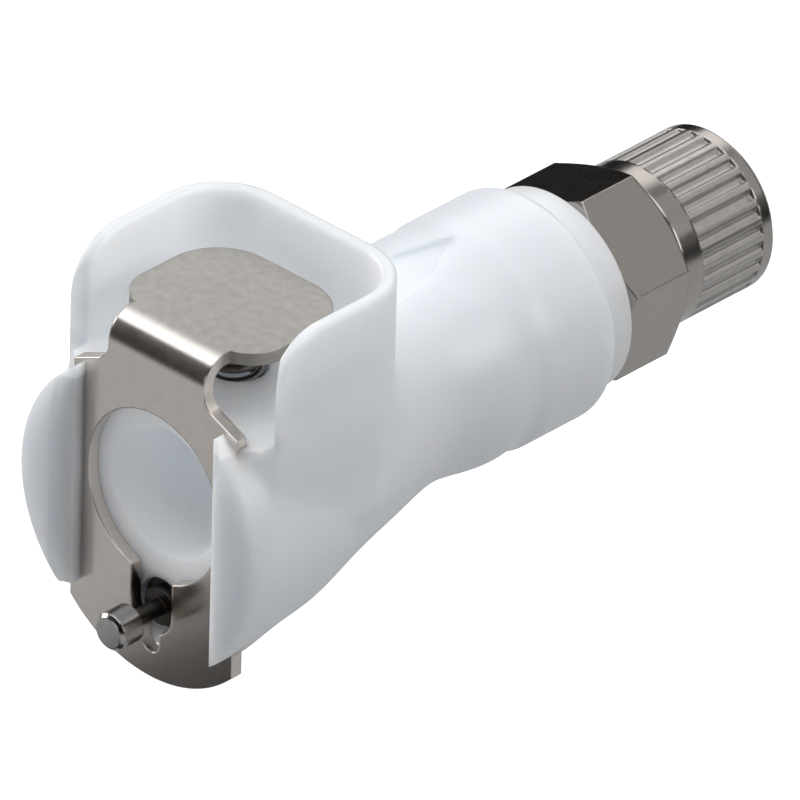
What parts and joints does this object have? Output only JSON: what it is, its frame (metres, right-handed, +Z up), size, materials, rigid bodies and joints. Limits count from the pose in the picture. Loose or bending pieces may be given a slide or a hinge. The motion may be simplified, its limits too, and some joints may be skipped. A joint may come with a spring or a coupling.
{
  "type": "quick disconnect coupling body",
  "caption": "Moulded plastic quick disconnect coupling body with a stainless thumb latch, shut-off valve, plated tube adapter and knurled tube nut.",
  "frame": {"origin": "on the flow axis, in the plane of the latch plate's front face", "axes": "+X to the right seen from the socket, +Y along the flow axis towards the tube nut, +Z up to the thumb pad"},
  "size_m": [0.027, 0.0713, 0.0356],
  "materials": {
    "acetal": "satin",
    "latch_steel": "brushed",
    "pin_steel": "turned",
    "poppet_plastic": "satin",
    "seal_rubber": "matt",
    "plating": "polished",
    "spring_steel": "drawn wire"
  },
  "bodies": {
    "body": {"housing": "acetal", "tube_adapter": "plating", "adapter_seal": "seal_rubber", "latch_spring": "spring_steel", "pin_spring": "spring_steel", "valve_spring": "spring_steel"},
    "latch": {"thumb_latch": "latch_steel"},
    "pin": {"release_pin": "pin_steel"},
    "poppet": {"valve_poppet": "poppet_plastic", "poppet_seal": "seal_rubber"},
    "nut": {"tube_nut": "plating"}
  },
  "joints": [
    {"name": "latch_slide", "type": "slide", "parent": "body", "child": "latch", "axis": [0, 0, 1], "range_m": [0, 0.003], "deforming": ["latch_spring"]},
    {"name": "pin_slide", "type": "slide", "parent": "body", "child": "pin", "axis": [0, 1, 0], "range_m": [0, 0.0024], "deforming": ["pin_spring"]},
    {"name": "poppet_slide", "type": "slide", "parent": "body", "child": "poppet", "axis": [0, 1, 0], "range_m": [0, 0.003], "stiffness_N_per_m": 400, "springref_m": -0.004, "deforming": ["valve_spring"]},
    {"name": "nut_turn", "type": "hinge", "parent": "body", "child": "nut", "pos_m": [0, 0.0605, 0], "axis": [0, 1, 0], "continuous": true}
  ],
  "couplings": [
    {"joint": "pin_slide", "follows": "latch_slide", "ratio": 0.8}
  ]
}
